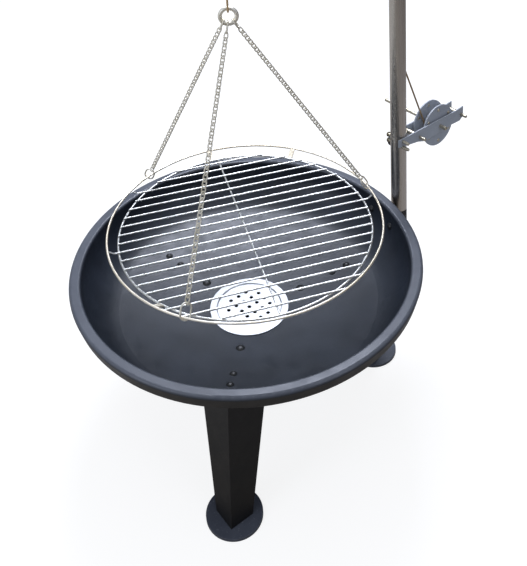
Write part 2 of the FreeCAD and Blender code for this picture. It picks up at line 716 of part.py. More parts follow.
def make_winch_frame():
    plates = []
    for s in (1, -1):
        near = PLATE_INSIDE if s > 0 else -PLATE_INSIDE - PLATE_T
        back = PLATE_BACK if s > 0 else PLATE_REAR_BACK
        nose, drop = (PLATE_NOSE, 0) if s > 0 else (PLATE_REAR_NOSE, PLATE_REAR_DROP)
        places = [plate_place(*k, nose, drop) for k in PLATE_SHARES]
        pts = [winch(max(o, -back), near, u) for o, u in places]
        plate = Part.Face(Part.makePolygon(pts + [pts[0]])).extrude(ACROSS * PLATE_T)
        holes = [rod(winch(DRUM_OUT, near - PLATE_T, DRUM_UP), winch(DRUM_OUT, near + 2 * PLATE_T, DRUM_UP),
                     AXLE_R + RUNNING_FIT)]
        holes += [rod(winch(o, near - PLATE_T, u), winch(o, near + 2 * PLATE_T, u), TIE_R + TIE_HOLE_GAP)
                  for o, u in TIE_PLACES]
        plates.append(plate.cut(Part.makeCompound(holes)))
    rods, tubes = [], []
    back = PLATE_INSIDE + PLATE_T + WELD_GAP
    for o, u in TIE_PLACES:
        tie = domed_rod(winch(o, -back, u), winch(o, TIE_FRONT_END, u), TIE_R)
        head = placed(dome(TIE_HEAD_R, TIE_HEAD_H), winch(o, -back, u), ACROSS * -1)
        rods.append(tie.fuse(head).removeSplitter())
        if o > 0:
            a, b = winch(o, -PLATE_INSIDE + SPACER_GAP, u), winch(o, PLATE_INSIDE - SPACER_GAP, u)
            tubes.append(rod(a, b, SPACER_R).cut(rod(a, b, TIE_R + SPACER_GAP)))
    return plates[0], plates[1], Part.makeCompound(rods), Part.makeCompound(tubes)


def make_drum():
    core = rod(winch(DRUM_OUT, -DISC_INSIDE, DRUM_UP), winch(DRUM_OUT, DISC_INSIDE, DRUM_UP), DRUM_R)
    bore = rod(winch(DRUM_OUT, -2 * DISC_INSIDE, DRUM_UP), winch(DRUM_OUT, 2 * DISC_INSIDE, DRUM_UP),
               AXLE_R + PRESS_GAP)
    core = core.cut(bore)
    places = []
    for k in range(RIVET_COUNT):
        a = math.radians(RIVET_FIRST_DEG + k * 360 / RIVET_COUNT)
        places.append((DRUM_OUT + RIVET_RING_R * math.cos(a), DRUM_UP + RIVET_RING_R * math.sin(a)))
    discs = []
    for s in (1, -1):
        near, far = s * (DISC_INSIDE + PRESS_GAP), s * (DISC_INSIDE + DISC_T)
        disc = rod(winch(DRUM_OUT, near, DRUM_UP), winch(DRUM_OUT, far, DRUM_UP), DISC_R).cut(bore)
        holes = [rod(winch(o, 0, u), winch(o, 2 * far, u), RIVET_R + PRESS_GAP) for o, u in places]
        discs.append(disc.cut(Part.makeCompound(holes)))
    rivets = []
    for o, u in places:
        for s in (1, -1):
            near = s * (DISC_INSIDE - WELD_GAP)
            far = s * (DISC_INSIDE + DISC_T + WELD_GAP)
            one = rod(winch(o, near, u), winch(o, far, u), RIVET_R)
            one = one.fuse(placed(dome(RIVET_HEAD_R, RIVET_HEAD_H), winch(o, far, u), ACROSS * s))
            one = one.fuse(placed(dome(RIVET_HEAD_R, RIVET_TAIL_H), winch(o, near, u), ACROSS * -s))
            rivets.append(one.removeSplitter())
    front = domed_rod(winch(DRUM_OUT, 0, DRUM_UP), winch(DRUM_OUT, AXLE_FRONT_END, DRUM_UP), AXLE_R)
    rear = domed_rod(winch(DRUM_OUT, 0, DRUM_UP), winch(DRUM_OUT, -AXLE_REAR_END, DRUM_UP), AXLE_R)
    axle = front.fuse(rear).removeSplitter()
    return core, discs[0], discs[1], Part.makeCompound(rivets), axle


def make_crank():
    near, far = -CRANK_BACK + CRANK_T / 2, -CRANK_BACK - CRANK_T / 2
    top, low = DRUM_UP, DRUM_UP - CRANK_LENGTH
    pts = [winch(DRUM_OUT - CRANK_HALF_WIDTH, far, low), winch(DRUM_OUT + CRANK_HALF_WIDTH, far, low),
           winch(DRUM_OUT + CRANK_HALF_WIDTH, far, top), winch(DRUM_OUT - CRANK_HALF_WIDTH, far, top)]
    bar = Part.Face(Part.makePolygon(pts + [pts[0]])).extrude(ACROSS * CRANK_T)
    for u in (low, top):
        bar = bar.fuse(rod(winch(DRUM_OUT, far, u), winch(DRUM_OUT, near, u), CRANK_HALF_WIDTH))
    bar = bar.removeSplitter()
    for u, r in ((top, AXLE_R), (low, KNOB_PIN_R)):
        a, b = winch(DRUM_OUT, far - CRANK_T, u), winch(DRUM_OUT, near + CRANK_T, u)
        bar = bar.cut(rod(a, b, r + PRESS_GAP))
    knob_near = far - KNOB_GAP
    knob_far = knob_near - KNOB_LENGTH
    head_at = knob_far - KNOB_GAP
    pin = rod(winch(DRUM_OUT, near, low), winch(DRUM_OUT, head_at, low), KNOB_PIN_R)
    head = placed(dome(KNOB_PIN_HEAD_R, KNOB_PIN_HEAD_H), winch(DRUM_OUT, head_at, low), ACROSS * -1)
    pin = pin.fuse(head)
    r, c = KNOB_R, KNOB_ROUND
    bore = KNOB_PIN_R + RUNNING_FIT
    knob = turned([(bore, 0), (r - c, 0), (r, c), (r, KNOB_LENGTH - c), (r - c, KNOB_LENGTH),
                   (bore, KNOB_LENGTH)])
    knob = placed(knob, winch(DRUM_OUT, knob_near, low), ACROSS * -1)
    return bar, pin.removeSplitter(), knob


def biarc(p0, t0, p1, t1):
    """Two arcs that join two points with given directions; returns their edges."""
    v = p1 - p0
    t = t0 + t1
    a = 2 * (1 - t0.dot(t1))
    b = v.dot(t)
    d = (-b + math.sqrt(b * b + a * v.dot(v))) / a
    q0, q1 = p0 + t0 * d, p1 - t1 * d
    m = (q0 + q1) * (1 / 2)
    edges = []
    for start, apex, end in ((p0, q0, m), (m, q1, p1)):
        mid = (start + end) * (1 / 2)
        half = (end - start).Length / 2
        lean = math.acos(min(1, half / (apex - start).Length))
        edges.append(Part.Arc(start, mid + unit(apex - mid) * (half * math.tan(lean / 2)), end).toShape())
    return edges


def make_winding():
    """The rope's turns on the drum: one unbroken tube, wound towards the rear disc."""
    total = WIND_QUARTERS * math.pi / 2
    per = WIND_SPAN / total

    def at(turn):
        angle = LEAVE_ANGLE + total - turn
        p = drum_point(angle, WIND_SPAN / 2 - per * turn)
        d = V(WIND_R * math.sin(angle), -per, -WIND_R * math.cos(angle))
        point = winch(p.x, p.y, p.z)
        return point, unit(OUT * d.x + ACROSS * d.y + UP * d.z)
    edges = []
    for k in range(WIND_QUARTERS):
        p0, t0 = at(k * math.pi / 2)
        p1, t1 = at((k + 1) * math.pi / 2)
        if k == WIND_QUARTERS - 1:
            t1 = unit(winch(CORNER.x, CORNER.y, CORNER.z) - p1)
        edges += biarc(p0, t0, p1, t1)
    wire = Part.Wire(edges)
    samples = [at(total * k / 600)[0] for k in range(601)]
    apart = 600 // WIND_QUARTERS * 2
    least = min((samples[i] - samples[j]).Length for i in range(0, 601, 2) for j in range(i + apart, 601, 2))
    print("winding: loops %.2f, least gap to itself %.2f mm" % (WIND_QUARTERS / 4, least - 2 * CABLE_R))
    return piped(wire, CABLE_R)


def make_cable():
    """The rope from drum to tip in one run, and the free drop below the tip wheel."""
    a = drum_point(LEAVE_ANGLE, -WIND_SPAN / 2)
    start = winch(a.x, a.y, a.z)
    corner = winch(CORNER.x, CORNER.y, CORNER.z)
    level = ARM_HEIGHT - HUG
    pts = [start, corner, arm(HUG, level), arm(ARM_REACH, level), arm(ARM_REACH, WHEEL_UP - CABLE_R)]
    run = piped(route(pts, [ROUTE_CORNER_R, BEND_R - HUG, TIP_WHEEL_R]), CABLE_R)
    top = arm(ARM_REACH, WHEEL_UP - CABLE_R - CABLE_GAP)
    low = V(HANG_X, HANG_Y, FERRULE_TOP + CABLE_GAP)
    return run, rod(low, top, CABLE_R), top.z


RING_TOP = RING_UP + RING_R
FERRULE_LOW = RING_TOP + LOOP_HEIGHT
FERRULE_TOP = FERRULE_LOW + FERRULE_LENGTH
FACE = heading(RING_FACE_DEG)
SQUARE = heading(RING_FACE_DEG - 90)
HANG = V(HANG_X, HANG_Y, 0)


def make_loop():
    """Rope loop round the ring's wire, and the ferrule crimped on its two ends."""
    r = RING_WIRE_R + LOOP_GAP + CABLE_R

    def at(side, z):
        return HANG + SQUARE * side + UP * z
    end = FERRULE_LOW + FERRULE_GRIP
    sides = []
    for k in (1, -1):
        pts = [at(k * STRAND_APART, end), at(k * STRAND_APART, FERRULE_LOW - LOOP_ROUND / 4),
               at(k * r, RING_TOP + LOOP_STRAIGHT), at(k * r, RING_TOP)]
        sides.append(pts if k > 0 else pts[::-1])
    turn = Part.Arc(at(r, RING_TOP), at(0, RING_TOP - r), at(-r, RING_TOP)).toShape()
    down, back = (route(pts, [LOOP_ROUND] * 2).Edges for pts in sides)
    wire = Part.Wire(down + [turn] + back)
    loop = piped(wire, CABLE_R)
    ferrule = Part.makeBox(2 * STRAND_APART, 2 * FERRULE_R, FERRULE_LENGTH, V(-STRAND_APART, -FERRULE_R, 0))
    ferrule = framed(ferrule, at(0, FERRULE_LOW), SQUARE, UP)
    strands = [s * STRAND_APART for s in (-1, 1)]
    for x in strands:
        ferrule = ferrule.fuse(rod(at(x, FERRULE_LOW), at(x, FERRULE_TOP), FERRULE_R))
    ferrule = ferrule.removeSplitter()
    for x in strands:
        ferrule = ferrule.cut(rod(at(x, FERRULE_LOW), at(x, end + CABLE_GAP), CABLE_R + STRAND_GAP))
    return loop, ferrule


def oval_link(inner_r, inner_length, wire_r):
    """A chain link in the XZ plane, long side along Z, lowest inner point at the origin."""
    big = inner_r + wire_r
    straight = inner_length - 2 * inner_r
    halves = []
    for z, flip in ((inner_r, 1), (inner_r + straight, -1)):
        pts = [V(big, 0, 0), V(0, 0, -big * flip), V(-big, 0, 0)]
        arc = Part.Wire([Part.Arc(*pts).toShape()])
        half = piped(arc, wire_r)
        half.translate(V(0, 0, z))
        halves.append(half)
    bars = [Part.makeCylinder(wire_r, straight, V(s * big, 0, inner_r), UP) for s in (-1, 1)]
    return halves[0].multiFuse([halves[1]] + bars).removeSplitter()


def make_chains():
    """Top links on the ring, the three chains and the eyes on the grate's upper ring."""
    ring_mid = HANG + UP * RING_UP
    grate_mid = HANG + UP * (GRATE_UP + UPPER_RING_RISE)
    top_link = oval_link(TOP_LINK_INNER_R, TOP_LINK_INNER_LENGTH, TOP_LINK_WIRE_R)
    eye_link = oval_link(EYE_INNER_R, EYE_INNER_LENGTH, EYE_WIRE_R)
    tops, chains, eyes = [], [], []
    for ring_deg, eye_deg, yaw, name in zip(TOP_LINK_RING_DEGS, EYE_DEGS, EYE_YAW_DEGS, CHAIN_NAMES):
        a = math.radians(ring_deg)
        out = FACE * math.sin(a) - UP * math.cos(a)
        seat = ring_mid + out * RING_R
        wire_along = FACE * math.cos(a) + UP * math.sin(a)
        eye_seat = grate_mid + polar(UPPER_RING_R, eye_deg)
        d = unit(eye_seat - seat)
        inner = (RING_WIRE_R + LINK_GAP) / math.sqrt(1 - wire_along.dot(d) ** 2)
        side = unit(wire_along.cross(d))
        tops.append(framed(top_link, seat - d * inner, side, d))
        hook = seat + d * (TOP_LINK_INNER_LENGTH - inner + TOP_LINK_WIRE_R)
        tangent = polar(1, eye_deg + 90)
        across = unit(tangent - d * tangent.dot(d))
        y = math.radians(yaw)
        normal = across * math.cos(y) + across.cross(d) * math.sin(y)
        eye_low = eye_seat + d * (GRATE_WIRE_R + LINK_GAP)
        eyes.append(framed(eye_link, eye_low, d.cross(normal), d * -1))
        last = eye_low - d * (EYE_INNER_LENGTH + EYE_WIRE_R)
        span = (last - hook).Length + TOP_LINK_WIRE_R + EYE_WIRE_R + 2 * LINK_GAP
        first_side = side.cross(d)
        twist = math.atan2(normal.dot(d.cross(first_side)), normal.dot(first_side))
        twist = (twist + math.pi / 2) % math.pi - math.pi / 2
        odd = abs(twist) <= math.pi / 4
        if not odd:
            twist -= math.copysign(math.pi / 2, twist)
        count = 2 * int(round(((span - LINK_GAP) / (LINK_INNER_LENGTH - LINK_GAP) - odd) / 2)) + odd
        length = (span + (count - 1) * LINK_GAP) / count
        link = oval_link(LINK_INNER_R, length, LINK_WIRE_R)
        start = hook - d * (TOP_LINK_WIRE_R + LINK_GAP)
        links = []
        for k in range(count):
            b = (math.pi / 2) * (k % 2) + twist * k / max(1, count - 1)
            way = first_side * math.cos(b) + d.cross(first_side) * math.sin(b)
            links.append(framed(link, start + d * (k * (length - LINK_GAP)), way, d))
        chains.append(Part.makeCompound(links))
        print("chain %s: %d links of %.2f mm inside" % (name, count, length))
    ring = Part.makeTorus(RING_R, RING_WIRE_R, ring_mid, SQUARE)
    return ring, Part.makeCompound(tops), chains, Part.makeCompound(eyes)


# grate
GRATE_MID = HANG + UP * GRATE_UP


def bar_point(along, across, up):
    d = heading(BAR_DEG)
    n = heading(BAR_DEG + 90)
    return GRATE_MID + d * along + n * across + UP * up


def make_bars():
    level = GRATE_WIRE_R + BAR_R + BAR_SEAT_GAP
    straight, bent_up = [], []
    for i in range(-BAR_REACH, BAR_REACH + 1):
        s = BAR_SHIFT + i * BAR_PITCH
        plain = math.sqrt(GRATE_RING_R ** 2 - s ** 2)
        rim = math.sqrt(UPPER_RING_R ** 2 - s ** 2)
        pts, rounds = [], []
        for sign, bent in ((-1, i in BENT_LEFT), (1, i in BENT_RIGHT)):
            if bent:
                slope = rim / UPPER_RING_R
                gap = (GRATE_WIRE_R + BAR_R / 2 + BENT_END_GAP) / slope
                rise = UPPER_RING_RISE - GRATE_WIRE_R - BAR_R / 2
                tip = rim - gap
                end = [bar_point(sign * tip, s, rise), bar_point(sign * (tip - BENT_BACK), s, level)]
            else:
                end = [bar_point(sign * plain, s, level)]
            if sign < 0:
                pts += end
                rounds += [BENT_ROUND] * (len(end) - 1)
            else:
                pts += end[::-1]
                rounds += [BENT_ROUND] * (len(end) - 1)
        if rounds:
            bent_up.append(piped(route(pts, rounds), BAR_R))
        else:
            straight.append(rod(pts[0], pts[-1], BAR_R))
    return Part.makeCompound(straight), Part.makeCompound(bent_up)


def make_grate():
    lower = Part.makeTorus(GRATE_RING_R, GRATE_WIRE_R, GRATE_MID, UP)
    upper = Part.makeTorus(UPPER_RING_R, GRATE_WIRE_R, GRATE_MID + UP * UPPER_RING_RISE, UP)
    inner = GRATE_RING_R - GRATE_WIRE_R - BAR_SEAT_GAP
    level = GRATE_WIRE_R - BAR_R
    cross = rod(bar_point(0, -inner, level), bar_point(0, inner, level), BAR_R)
    strips = []
    for d in UPRIGHT_DEGS:
        gap = GRATE_WIRE_R + BAR_SEAT_GAP
        run = UPPER_RING_R - GRATE_RING_R
        lean = math.atan2(UPPER_RING_RISE, run)
        way = polar(math.cos(lean), d, math.sin(lean))
        length = math.hypot(run, UPPER_RING_RISE) - 2 * gap
        corner = V(-UPRIGHT_HALF_WIDTH, -UPRIGHT_T / 2, 0)
        box = Part.makeBox(2 * UPRIGHT_HALF_WIDTH, UPRIGHT_T, length, corner)
        at = GRATE_MID + polar(GRATE_RING_R, d) + way * gap
        strips.append(framed(box, at, UP.cross(heading(d)), way))
    straight, bent_up = make_bars()
    return lower, upper, straight, bent_up, cross, Part.makeCompound(strips)


def build():
    nodes = {}
    nodes["bowl"] = make_bowl()
    nodes["ash_plate"] = make_ash_plate()
    nodes["ash_pan"] = make_ash_pan()
    legs, feet, screws = make_legs()
    for name, leg, foot, group in zip(("front", "right", "left"), legs, feet, screws):
        nodes["leg_" + name] = leg
        nodes["foot_" + name] = foot
        nodes["leg_screws_" + name] = group
    nodes["post_bracket"], nodes["bracket_screws"] = make_bracket()
    nodes["post_socket"], nodes["post_spigot"] = make_socket()
    nodes["gallows_tube"] = make_gallows()
    nodes["tip_fork"], nodes["tip_pin"] = make_fork()
    nodes["tip_wheel"] = make_tip_wheel()
    (nodes["winch_plate_front"], nodes["winch_plate_rear"], nodes["winch_tie_rods"],
     nodes["winch_spacers"]) = make_winch_frame()
    (nodes["drum_core"], nodes["drum_disc_front"], nodes["drum_disc_rear"], nodes["drum_rivets"],
     nodes["winch_axle"]) = make_drum()
    nodes["crank_arm"], nodes["knob_pin"], nodes["crank_knob"] = make_crank()
    nodes["cable_winding"] = make_winding()
    nodes["cable_run"], nodes["cable_drop"], drop_top = make_cable()
    nodes["cable_loop"], nodes["cable_ferrule"] = make_loop()
    ring, tops, chains, eyes = make_chains()
    nodes["hang_ring"], nodes["top_links"], nodes["chain_eyes"] = ring, tops, eyes
    for name, chain in zip(CHAIN_NAMES, chains):
        nodes["chain_" + name] = chain
    (nodes["grate_lower_ring"], nodes["grate_upper_ring"], nodes["grate_bars"], nodes["grate_bent_bars"],
     nodes["grate_cross_wire"], nodes["grate_uprights"]) = make_grate()
    return nodes, drop_top


def origin_shift(nodes):
    """Moves the part so that its box stands on the ground with its middle over the origin."""
    box = Part.makeCompound(list(nodes.values())).optimalBoundingBox(True, False)
    return V(-(box.XMin + box.XMax) / 2, -(box.YMin + box.YMax) / 2, -box.ZMin), box


os.makedirs("parts", exist_ok=True)
NODES, DROP_TOP = build()
SHIFT, BOX = origin_shift(NODES)
print("box %.2f %.2f %.2f" % (BOX.XLength, BOX.YLength, BOX.ZLength))
print("shift %.3f %.3f %.3f" % (SHIFT.x, SHIFT.y, SHIFT.z))
for node_name, shape in NODES.items():
    moved = shape.copy()
    moved.translate(SHIFT)
    if not moved.isValid() or not moved.Solids:
        print("check", node_name, moved.isValid(), len(moved.Solids))
    moved.exportStep(os.path.join("parts", node_name + ".step"))
print("nodes", len(NODES), "drop top z", round(DROP_TOP + SHIFT.z, 3))
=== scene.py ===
import math

import bpy
import numpy as np
from mathutils import Matrix, Vector


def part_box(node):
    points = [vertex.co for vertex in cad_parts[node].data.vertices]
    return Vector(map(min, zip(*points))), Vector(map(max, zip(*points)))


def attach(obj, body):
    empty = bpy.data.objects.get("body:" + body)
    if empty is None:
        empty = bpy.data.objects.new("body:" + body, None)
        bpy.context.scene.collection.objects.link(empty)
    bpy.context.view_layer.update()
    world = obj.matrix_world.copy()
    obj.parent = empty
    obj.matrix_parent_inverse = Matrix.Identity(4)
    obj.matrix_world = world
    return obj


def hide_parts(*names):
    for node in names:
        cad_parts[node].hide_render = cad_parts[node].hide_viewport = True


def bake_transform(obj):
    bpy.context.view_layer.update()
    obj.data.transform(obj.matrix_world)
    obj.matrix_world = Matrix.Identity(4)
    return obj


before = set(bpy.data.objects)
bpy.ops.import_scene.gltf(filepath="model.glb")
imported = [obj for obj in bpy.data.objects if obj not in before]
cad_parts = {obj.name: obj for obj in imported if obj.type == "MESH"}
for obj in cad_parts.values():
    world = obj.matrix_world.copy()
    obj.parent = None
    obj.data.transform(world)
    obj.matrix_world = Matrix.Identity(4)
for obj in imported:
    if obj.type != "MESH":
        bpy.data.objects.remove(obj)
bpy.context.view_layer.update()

# Camera. The photograph is the lower part of a taller upright picture, so the lens looks down by
# only about 20 degrees and the shift brings the frame down to the grill. Places are millimetres
# from the middle of the bowl's rim.
bowl_low, bowl_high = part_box("bowl")
rim_middle = (np.array(bowl_low) + np.array(bowl_high)) / 2
rim_middle[2] = bowl_high[2]


def place(points):
    """Metres in the frame from millimetres off the rim's middle: rim_middle + points / 1000."""
    return rim_middle + np.asarray(points, float) / 1000


camera_place = (302.125, -1429.773, 1187.111)
camera_pitch, camera_roll, camera_turn = 0.35316, -0.06807, math.radians(9.8339)
forward = Vector((0, math.cos(camera_pitch), -math.sin(camera_pitch)))
upward = Vector((0, math.sin(camera_pitch), math.cos(camera_pitch)))
rightward = Vector((1, 0, 0))
cos_roll, sin_roll = math.cos(camera_roll), math.sin(camera_roll)
axes = [cos_roll * rightward + sin_roll * upward,
        -sin_roll * rightward + cos_roll * upward, -forward]
turn = Matrix.Rotation(camera_turn, 3, "Z")
camera_data = bpy.data.cameras.new("camera")
camera_data.lens, camera_data.sensor_width = 56.580, 36
camera_data.shift_x, camera_data.shift_y = 0.02183, -0.58852
camera_data.clip_end = 50
camera = bpy.data.objects.new("camera", camera_data)
camera.matrix_world = Matrix.Translation(place(camera_place)) @ \
    Matrix([turn @ a for a in axes]).transposed().to_4x4()
bpy.context.scene.collection.objects.link(camera)
bpy.context.scene.camera = camera
bpy.context.scene.view_settings.view_transform = "Standard"


# Bowl. A fire bowl pressed from 2.5 mm sheet steel: a shallow crown, a wide knuckle, a flat rim
# and a leaning skirt, sprayed with satin black heat-proof lacquer, with a painted grey highlight
# for the rim's sheen and painted shade on the skirt.
def linear(code):
    """Linear red, green, blue from an sRGB hex code: c / 12.92, or ((c + 0.055) / 1.055) ** 2.4."""
    c = np.array([int(code[i:i + 2], 16) for i in (1, 3, 5)]) / 255
    c = np.where(c <= 0.04045, c / 12.92, ((c + 0.055) / 1.055) ** 2.4)
    return (*c, 1.0)


def add(tree, kind, values=None, links=None, **settings):
    """One node: its settings, the values of its input sockets, and links into them."""
    n = tree.nodes.new(kind)
    for key, value in settings.items():
        setattr(n, key, value)
    for key, value in (values or {}).items():
        n.inputs[key].default_value = value
    for key, source in (links or {}).items():
        tree.links.new(source, n.inputs[key])
    return n


def new_material(name):
    """An empty material with its output node, and its node tree."""
    m = bpy.data.materials.new(name)
    m.use_nodes = True
    m.node_tree.nodes.clear()
    out = m.node_tree.nodes.new("ShaderNodeOutputMaterial")
    return m, m.node_tree, out


def ramp(tree, source, stops):
    """A colour ramp over the source: stops are (place, hex code)."""
    n = add(tree, "ShaderNodeValToRGB", links={"Fac": source})
    e = n.color_ramp.elements
    while len(e) < len(stops):
        e.new(0.5)
    for item, (at, code) in zip(e, stops):
        item.position, item.color = at, linear(code)
    return n.outputs["Color"]


def noise(tree, scale, detail=4, rough=0.55, vector=None):
    """Noise over Object coordinates; the scale is features per metre."""
    if vector is None:
        vector = add(tree, "ShaderNodeTexCoord").outputs["Object"]
    return add(tree, "ShaderNodeTexNoise", {"Scale": scale, "Detail": detail, "Roughness": rough},
               {"Vector": vector}).outputs["Fac"]


def spread(tree, source, low, high, to_low, to_high):
    """Maps a value from one range to another, held at its ends."""
    return add(tree, "ShaderNodeMapRange", {"From Min": low, "From Max": high, "To Min": to_low,
                                            "To Max": to_high}, {"Value": source}).outputs["Result"]


def plain(tree, code):
    """One colour from an sRGB hex code."""
    n = tree.nodes.new("ShaderNodeRGB")
    n.outputs["Color"].default_value = linear(code)
    return n.outputs["Color"]


def product(tree, first, second):
    """Two values multiplied."""
    return add(tree, "ShaderNodeMath", operation="MULTIPLY", links={0: first, 1: second}).outputs[0]


def stretched(tree, x, y, z):
    """Object coordinates scaled unevenly, for a grain that runs one way."""
    v = add(tree, "ShaderNodeTexCoord").outputs["Object"]
    return add(tree, "ShaderNodeMapping", {"Scale": (x, y, z)}, {"Vector": v}).outputs["Vector"]


def blended(tree, share, first, second):
    """Two colours mixed by a share of the second."""
    n = add(tree, "ShaderNodeMix", data_type="RGBA")
    tree.links.new(share, n.inputs[0])
    tree.links.new(first, n.inputs[6])
    tree.links.new(second, n.inputs[7])
    return n.outputs[2]


def edges(tree, width):
    """The normal rounded over hard edges, width in metres, and how far it leans from the face."""
    soft = add(tree, "ShaderNodeBevel", {"Radius": width}, samples=6).outputs["Normal"]
    flat = add(tree, "ShaderNodeNewGeometry").outputs["Normal"]
    lean = add(tree, "ShaderNodeVectorMath", operation="DOT_PRODUCT", links={0: soft, 1: flat})
    return soft, spread(tree, lean.outputs["Value"], 1.0, 0.93, 0.0, 1.0)


def lacquer(name, colour, wear_and_sheen, gloss, edge, edge_width=0.0008, dust=0.25):
    """Sprayed lacquer: a fine orange peel in the bump, cloudy colour, an uneven gloss, a little
    dust and scuffed edges."""
    peel_grain, peel_depth = 900, 0.00004
    m, t, out = new_material(name)
    soft, rim = edges(t, edge_width)
    height = add(t, "ShaderNodeBump", {"Strength": 0.5, "Distance": peel_depth},
                 {"Height": noise(t, peel_grain, 2), "Normal": soft}).outputs["Normal"]
    tint = ramp(t, noise(t, 9, 5), [(0.35, colour), (0.7, wear_and_sheen)])
    speck = spread(t, noise(t, 260, 3), 0.62, 0.8, 0.0, dust)
    tint = blended(t, speck, tint, plain(t, edge))
    scuffed = product(t, rim, spread(t, noise(t, 120, 4), 0.4, 0.7, 0.1, 0.8))
    tint = blended(t, scuffed, tint, plain(t, edge))
    rough = spread(t, noise(t, 35, 4), 0.3, 0.7, gloss - 0.05, gloss + 0.08)
    shader = add(t, "ShaderNodeBsdfPrincipled", {"Metallic": 0.0, "IOR": 1.5},
                 {"Base Color": tint, "Roughness": rough, "Normal": height})
    t.links.new(shader.outputs[0], out.inputs[0])
    return m


def metal(name, stops, rough_low, rough_high, along=(1, 1, 1), grain=400, cloud=22, groove_shade=None):
    """Bare or plated steel: cloudy tint, drawn or brushed grain and softened edges. The last
    argument names a vertex attribute by which painted shade darkens the hollows of a piece."""
    edge_width, grain_depth = 0.0004, 0.00002
    m, t, out = new_material(name)
    soft, _ = edges(t, edge_width)
    lines = noise(t, grain, 3, 0.6, stretched(t, *along))
    height = add(t, "ShaderNodeBump", {"Strength": 0.4, "Distance": grain_depth},
                 {"Height": lines, "Normal": soft}).outputs["Normal"]
    tint = ramp(t, noise(t, cloud, 5, 0.55, stretched(t, *along)), stops)
    if groove_shade:
        depth = add(t, "ShaderNodeAttribute", attribute_name=groove_shade).outputs["Fac"]
        # Painted shade: dark brown in the hollows between strands, standing in for the shade there.
        painted_hollow_shade = ramp(t, noise(t, 90), [(0, "#33281b"), (1, "#46382a")])
        tint = blended(t, spread(t, depth, 0.62, 0.9, 1.0, 0.0), tint, painted_hollow_shade)
    rough = spread(t, lines, 0.3, 0.7, rough_low, rough_high)
    shader = add(t, "ShaderNodeBsdfPrincipled", {"Metallic": 1.0},
                 {"Base Color": tint, "Roughness": rough, "Normal": height})
    t.links.new(shader.outputs[0], out.inputs[0])
    return m


def finish_nodes(material, *nodes):
    """Puts a material on every slot of CAD nodes."""
    for node in nodes:
        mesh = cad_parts[node].data
        mesh.materials.clear()
        mesh.materials.append(material)


def paint_rim_sheen_and_skirt_shade(material, inside, drop, colour, skirt):
    """Paints a grey highlight for the rim's sheen where |xy - rim middle| is past inside and the
    height is within drop of the rim, and painted shade in near black on the skirt below."""
    t = material.node_tree
    shader = next(n for n in t.nodes if n.type == "BSDF_PRINCIPLED")
    coated = shader.inputs["Base Color"].links[0].from_socket
    at = add(t, "ShaderNodeTexCoord").outputs["Object"]
    off = add(t, "ShaderNodeVectorMath", {1: tuple(rim_middle)}, {0: at},
              operation="SUBTRACT").outputs[0]
    level = add(t, "ShaderNodeVectorMath", {1: (1, 1, 0)}, {0: off},
                operation="MULTIPLY").outputs[0]
    out = add(t, "ShaderNodeVectorMath", operation="LENGTH", links={0: level}).outputs["Value"]
    up = add(t, "ShaderNodeSeparateXYZ", links={0: off}).outputs["Z"]
    fade = 0.006
    # Painted shade: the skirt below the rim is painted near black.
    below = product(t, spread(t, out, inside + 2 * fade, inside + 3 * fade, 0.0, 1.0),
                    spread(t, up, -drop / 2, -drop * 1.5, 0.0, 1.0))
    coated = blended(t, below, coated, plain(t, skirt))
    # Painted highlight: the flat rim is painted grey, broken up by noise, for its sheen.
    share = product(t, spread(t, out, inside, inside + fade, 0.0, 1.0),
                    spread(t, up, -drop, -drop / 3, 0.0, 1.0))
    wear_and_sheen = product(t, share, spread(t, noise(t, 30, 5), 0.3, 0.7, 0.75, 1.0))
    t.links.new(blended(t, wear_and_sheen, coated, plain(t, colour)), shader.inputs["Base Color"])
    return material


bowl_lacquer = lacquer("satin_black_bowl_lacquer", "#1c2129", "#272d37", 0.38, edge="#777a7e",
                       dust=0.10)
# The bowl's rim carries a painted highlight in #585c65 and its skirt painted shade in #07080a.
finish_nodes(paint_rim_sheen_and_skirt_shade(bowl_lacquer, 0.326, 0.006, "#585c65", "#07080a"), "bowl")

# Legs, feet and bracket. Tapered square legs folded from sheet and welded to a dished top plate,
# round foot plates in a greyer coat, and the post's bracket with its socket, all lacquered.
finish_nodes(lacquer("satin_black_leg_lacquer", "#050506", "#0a0a0b", 0.5, edge="#4b4b4d"),
             "leg_front", "leg_right", "leg_left", "post_bracket", "post_socket", "ash_pan")
finish_nodes(lacquer("slate_foot_lacquer", "#454953", "#585d68", 0.5, edge="#9a9ca2", dust=0.5),
             "foot_front", "foot_right", "foot_left")

# Screws. Dome-headed screws with nuts below, three to a leg and two to the bracket, sprayed over
# with the bowl and scuffed at their edges.
finish_nodes(lacquer("screw_lacquer", "#141516", "#202122", 0.35, edge="#55585b"),
             "leg_screws_front", "leg_screws_right", "leg_screws_left", "bracket_screws")

# Ash plate. A loose stainless disc with a stepped rim and punched holes over the ash opening,
# pressed from sheet, bright and lightly brushed one way.
finish_nodes(metal("brushed_stainless_plate", [(0.3, "#c3c5c7"), (0.7, "#dcdddf")], 0.4, 0.55,
                   (1, 0.05, 1), 500), "ash_plate")

# Grate. Stainless rods welded to a lower ring, an upper ring on three flat uprights, and bent-up
# rod ends that reach it; electropolished, the upper ring a little yellowed by welding.
finish_nodes(metal("electropolished_rod", [(0.3, "#d6d6d2"), (0.75, "#f6f6f2")], 0.22, 0.36,
                   grain=300),
             "grate_lower_ring", "grate_bars", "grate_bent_bars", "grate_cross_wire")
finish_nodes(metal("welded_ring_wire", [(0.3, "#dccfb6"), (0.6, "#f4ecdb"), (0.8, "#fdf9f0")],
                   0.4, 0.56, grain=300, cloud=9), "grate_upper_ring", "grate_uprights")

